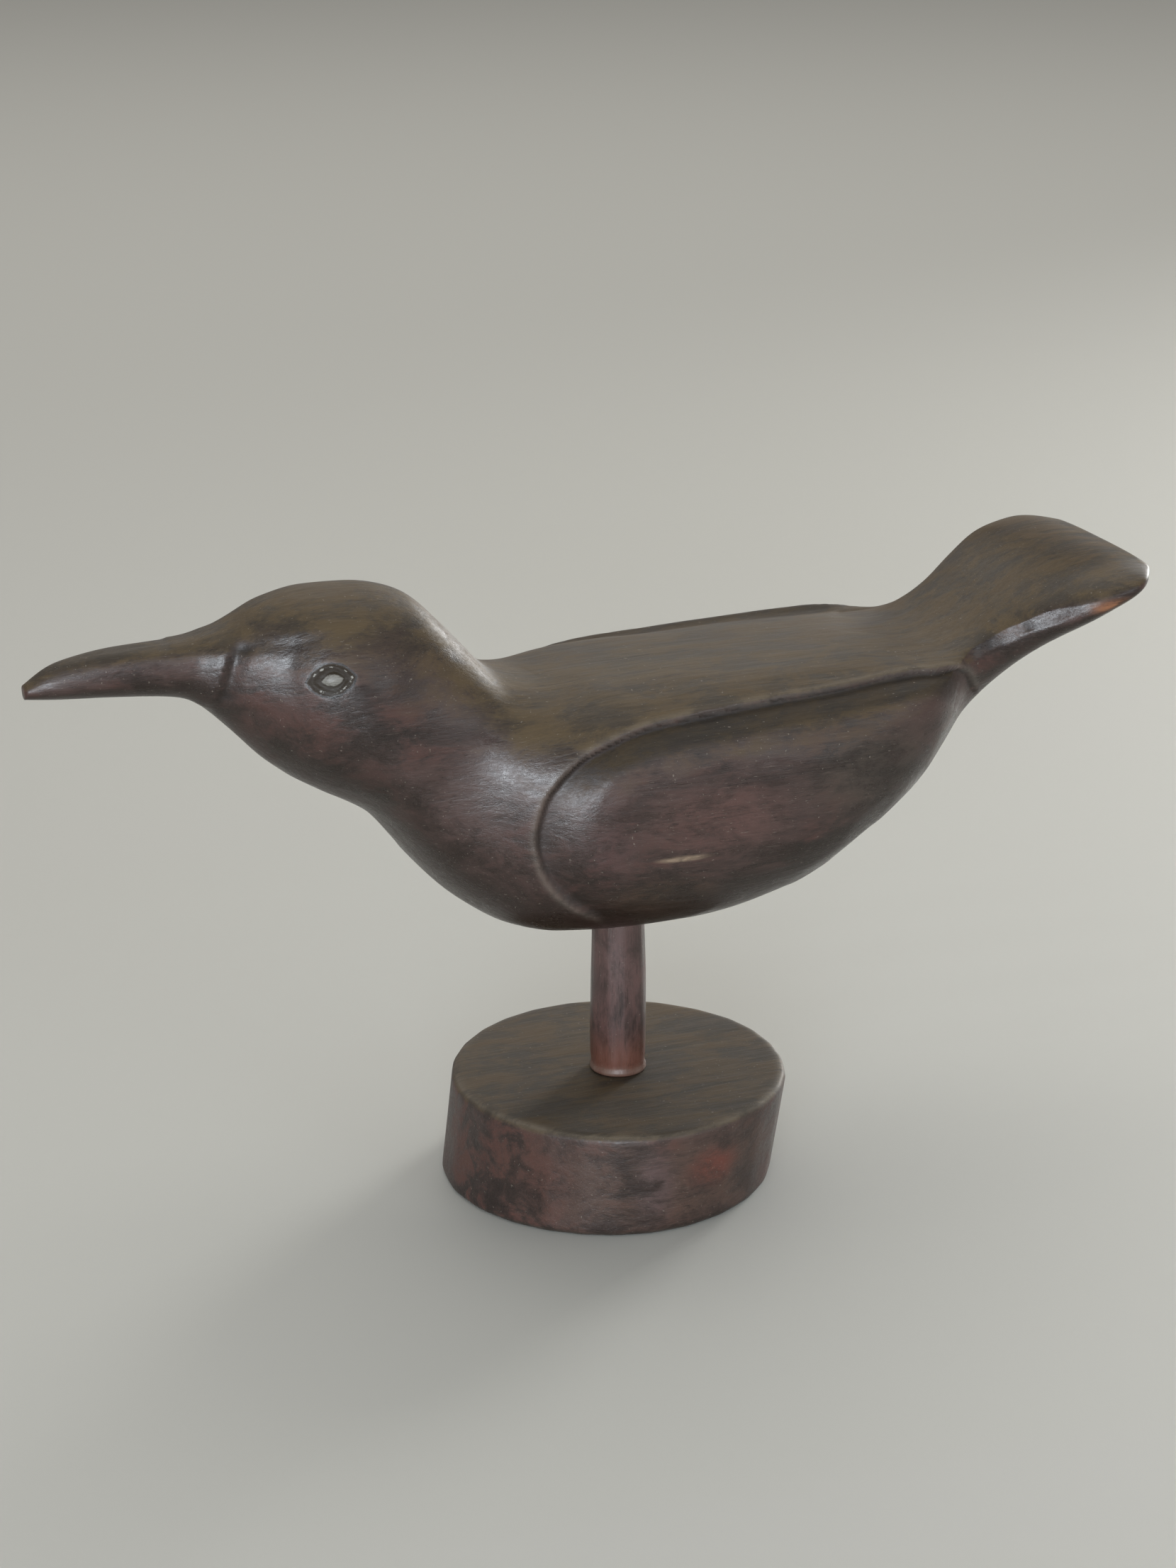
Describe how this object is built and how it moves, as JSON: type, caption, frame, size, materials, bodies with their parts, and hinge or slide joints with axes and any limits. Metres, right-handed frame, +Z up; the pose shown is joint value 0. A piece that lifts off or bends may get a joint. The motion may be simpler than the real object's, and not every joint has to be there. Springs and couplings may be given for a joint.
{
  "type": "carved wooden bird figure on a peg stand",
  "caption": "Carved dark-wood bird with a long beak, low-relief wings and a raised fan tail, standing on a round peg set in a wooden disc.",
  "frame": {"origin": "on the axis of the peg, in the plane of the base's underside", "axes": "+Z up along the peg, +X towards the bird's tail (the beak points to -X), the bird's left side faces -Y"},
  "size_m": [0.2505, 0.0778, 0.146],
  "materials": {
    "carved_wood": "dark stained close-grained wood, hand-rubbed wax with a soft sheen",
    "peg_wood": "stained hardwood dowel, waxed satin",
    "base_wood": "stained and waxed, mottled reddish brown on the sawn side"
  },
  "bodies": {
    "stand": {"base": "base_wood"},
    "peg": {"peg": "peg_wood"},
    "bird": {"bird": "carved_wood"}
  },
  "joints": [
    {"name": "peg_turn", "type": "hinge", "parent": "stand", "child": "peg", "pos_m": [0, 0, 0.0245], "axis": [0, 0, 1], "continuous": true},
    {"name": "bird_lift", "type": "slide", "parent": "peg", "child": "bird", "axis": [0, 0, 1], "range_m": [0, 0.025]}
  ]
}
